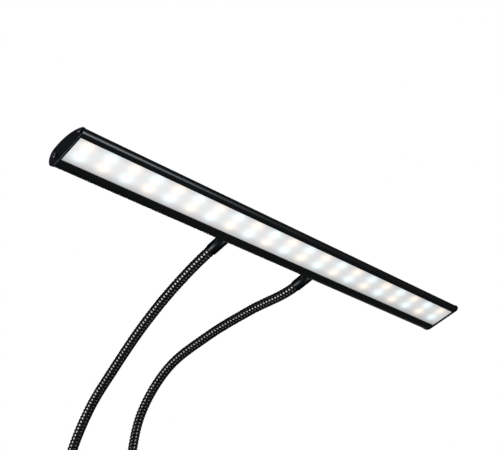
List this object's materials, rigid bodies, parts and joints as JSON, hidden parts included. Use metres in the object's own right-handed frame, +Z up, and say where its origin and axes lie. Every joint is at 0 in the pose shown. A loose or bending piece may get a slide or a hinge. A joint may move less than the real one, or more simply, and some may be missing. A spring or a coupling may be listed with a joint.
{
  "type": "music stand light",
  "caption": "Lamp bar with rows of warm and cool light chips behind an opal strip, carried by twin ribbed goosenecks on a control housing with a screw clamp for a desk edge.",
  "frame": {"origin": "middle of the seat under the clamp's bridge, where the edge of the desk stops", "axes": "+X along the lamp bar to its right end as pictured, +Y towards the back of the stand, away from the lamp bar, +Z up"},
  "size_m": [0.4274, 0.3406, 0.2895],
  "materials": {
    "black_anodised": "semi-gloss black anodised",
    "cap_black": "black anodised plate",
    "black_sleeve": "satin black",
    "black_ribbed": "gloss black",
    "black_cast": "black powder coat",
    "dark_screw": "black oxide",
    "plain_steel": "plain",
    "brass": "plain",
    "opal": "opal, lit",
    "white_board": "white solder mask",
    "warm_chip": "warm white chip",
    "cool_chip": "cool white chip",
    "warm_lead": "red wire",
    "cool_lead": "white wire",
    "black_plastic": "fine texture",
    "button_plastic": "smooth",
    "switch_plastic": "smooth",
    "clear_plastic": "clear",
    "green_board": "green solder mask",
    "black_rubber": "matt"
  },
  "bodies": {
    "base": {"housing_shell": "black_plastic", "housing_floor": "black_plastic", "floor_screws": "dark_screw", "control_board": "green_board", "tact_switches": "switch_plastic", "status_light": "clear_plastic", "usb_inlet": "plain_steel", "ferrule_base_left": "black_sleeve", "ferrule_base_right": "black_sleeve", "ferrule_nuts": "plain_steel", "clamp_bracket": "black_cast", "bracket_screws": "dark_screw", "fixed_pad": "black_rubber", "thread_insert": "brass"},
    "arms": {"gooseneck_left": "black_ribbed", "gooseneck_right": "black_ribbed", "lead_left": "warm_lead", "lead_right": "cool_lead"},
    "head": {"bar_extrusion": "black_anodised", "diffuser": "opal", "led_board": "white_board", "leds_warm": "warm_chip", "leds_cool": "cool_chip", "end_cap_left": "cap_black", "end_cap_right": "cap_black", "end_cap_screws": "dark_screw", "ferrule_top_left": "black_sleeve", "ferrule_top_right": "black_sleeve"},
    "pad": {"moving_pad_plate": "plain_steel", "moving_pad_rubber": "black_rubber"},
    "screw": {"clamp_screw": "plain_steel", "clamp_knob": "black_plastic", "knob_cap": "button_plastic"},
    "power": {"power_button": "button_plastic"},
    "colour": {"colour_button": "button_plastic"}
  },
  "joints": [
    {"name": "arm_lean", "type": "hinge", "parent": "base", "child": "arms", "pos_m": [0, -0.007, 0.1], "axis": [1, 0, 0], "range_deg": [-30, 30], "deforming": ["gooseneck_left", "gooseneck_right", "lead_left", "lead_right"]},
    {"name": "head_tilt", "type": "hinge", "parent": "arms", "child": "head", "pos_m": [0, -0.19, 0.222], "axis": [1, 0, 0], "range_deg": [-40, 40], "deforming": ["gooseneck_left", "gooseneck_right", "lead_left", "lead_right"]},
    {"name": "clamp_slide", "type": "slide", "parent": "base", "child": "pad", "axis": [0, -1, 0], "range_m": [-0.009, 0.018]},
    {"name": "screw_turn", "type": "hinge", "parent": "pad", "child": "screw", "pos_m": [0, 0.01, -0.028], "axis": [0, -1, 0], "range_deg": [-1630, 3250]},
    {"name": "power_press", "type": "slide", "parent": "base", "child": "power", "axis": [0, 0, -1], "range_m": [0, 0.0008], "stiffness_N_per_m": 1200, "springref_m": -0.0006},
    {"name": "colour_press", "type": "slide", "parent": "base", "child": "colour", "axis": [0, 0, -1], "range_m": [0, 0.0008], "stiffness_N_per_m": 1200, "springref_m": -0.0006}
  ],
  "couplings": [
    {"joint": "screw_turn", "follows": "clamp_slide", "rad_per_m": 3141.6}
  ]
}
